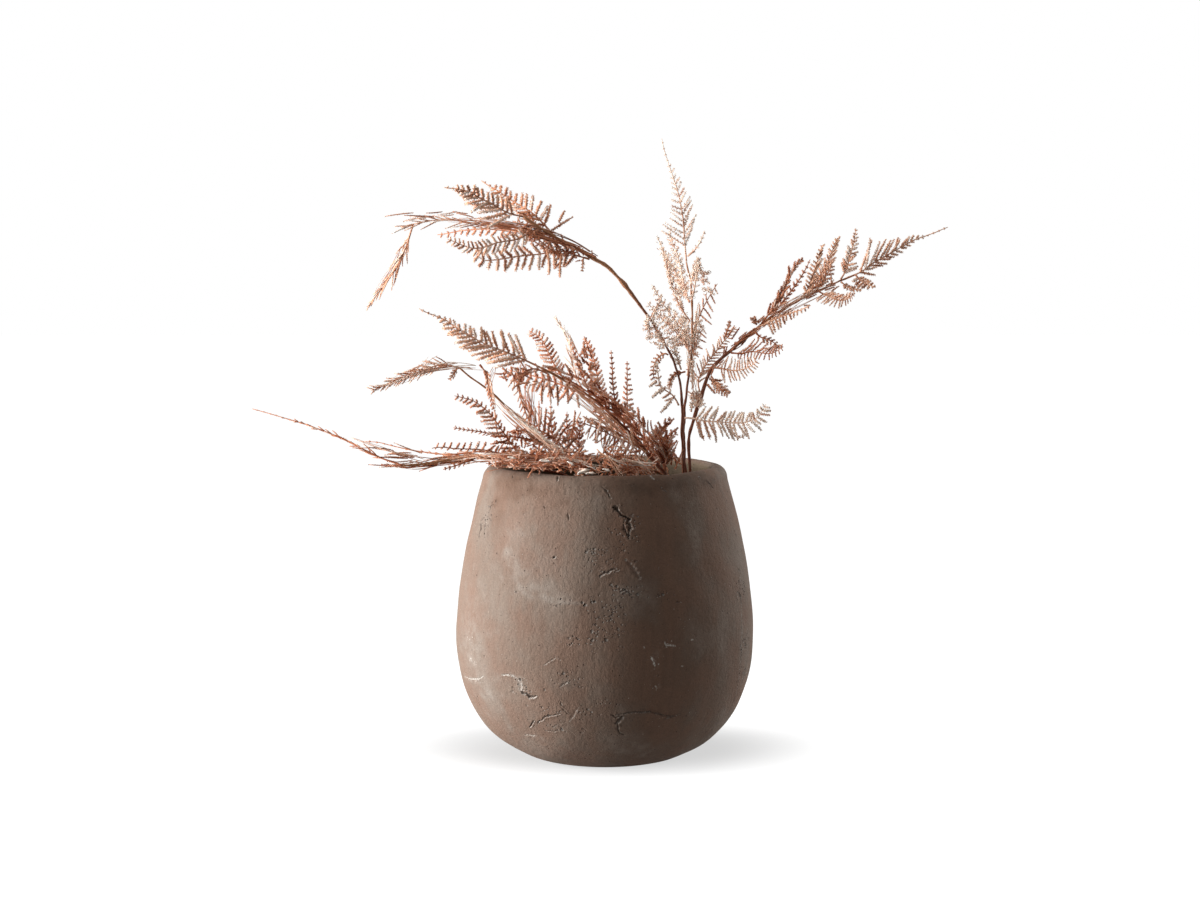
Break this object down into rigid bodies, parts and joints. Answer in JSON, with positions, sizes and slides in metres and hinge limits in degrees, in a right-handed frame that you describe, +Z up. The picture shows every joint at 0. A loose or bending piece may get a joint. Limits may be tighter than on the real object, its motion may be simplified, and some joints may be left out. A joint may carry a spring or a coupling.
{
  "type": "dead potted fern",
  "caption": "Withered fern with bare arching stalks and curled brown fronds, standing in dry soil in an egg-shaped, cracked clay pot.",
  "frame": {"origin": "centre of the pot's flat foot, where it meets the floor", "axes": "+Z up along the pot's axis, +X along the fern's widest spread, towards the bleached right-hand frond, -Y towards the front, where the fern spills over the rim"},
  "size_m": [0.6958, 0.2992, 0.6224],
  "materials": {
    "clay": "unglazed grey-brown clay, pitted, cracked and stained with pale lime bloom",
    "soil": "dry crumbly potting soil",
    "stalk": "dry dark brown stalk",
    "rust_leaf": "withered rust-brown foliage",
    "copper_leaf": "withered copper-brown foliage",
    "bleached_leaf": "withered foliage bleached to pinkish beige"
  },
  "bodies": {
    "root": {"pot": "clay", "soil": "soil", "stem_upright": "stalk", "stem_arching": "stalk", "stem_right": "stalk", "stem_left": "stalk", "stem_left_thin": "stalk", "stem_trailing": "stalk", "leaf_upright_tip": "bleached_leaf", "leaf_upright_left": "bleached_leaf", "leaf_upright_mid": "bleached_leaf", "leaf_upright_left_low": "bleached_leaf", "leaf_upright_right": "bleached_leaf", "leaf_arching_curl": "copper_leaf", "leaf_arching_low_curl": "bleached_leaf", "leaf_low_right": "bleached_leaf", "leaf_right_v": "rust_leaf", "leaf_right_u": "copper_leaf", "leaf_right_clump": "copper_leaf", "leaf_right_up_left": "rust_leaf", "leaf_right_dense": "rust_leaf", "leaf_right_knobby": "rust_leaf", "leaf_right_fan_a": "copper_leaf", "leaf_right_fan_b": "copper_leaf", "leaf_right_feather": "copper_leaf", "leaf_right_x": "rust_leaf", "leaf_right_under_a": "copper_leaf", "leaf_right_y": "rust_leaf", "leaf_right_tip": "copper_leaf", "leaf_right_under_b": "copper_leaf", "leaf_arching_a": "copper_leaf", "leaf_arching_b": "copper_leaf", "leaf_arching_c": "copper_leaf", "leaf_arching_c_hang": "rust_leaf", "leaf_arching_d": "copper_leaf", "leaf_arching_e": "copper_leaf", "leaf_arching_f": "copper_leaf", "leaf_arching_rust": "rust_leaf", "leaf_left_tip": "rust_leaf", "leaf_left_m": "rust_leaf", "leaf_left_n": "rust_leaf", "leaf_left_o": "rust_leaf", "leaf_left_p": "rust_leaf", "leaf_left_q": "rust_leaf", "leaf_left_k": "rust_leaf", "leaf_left_r": "rust_leaf", "leaf_left_under_a": "rust_leaf", "leaf_left_under_b": "rust_leaf", "leaf_crown_a": "rust_leaf", "leaf_crown_b": "rust_leaf", "leaf_crown_c": "rust_leaf", "leaf_crown_d": "rust_leaf", "leaf_left_thin_tip": "copper_leaf", "leaf_left_h": "rust_leaf", "leaf_left_i": "rust_leaf", "leaf_left_j": "rust_leaf", "leaf_trailing_tip": "rust_leaf", "leaf_trailing_thin": "rust_leaf", "leaf_left_bush": "rust_leaf", "leaf_crown_e": "rust_leaf"}
  },
  "joints": []
}
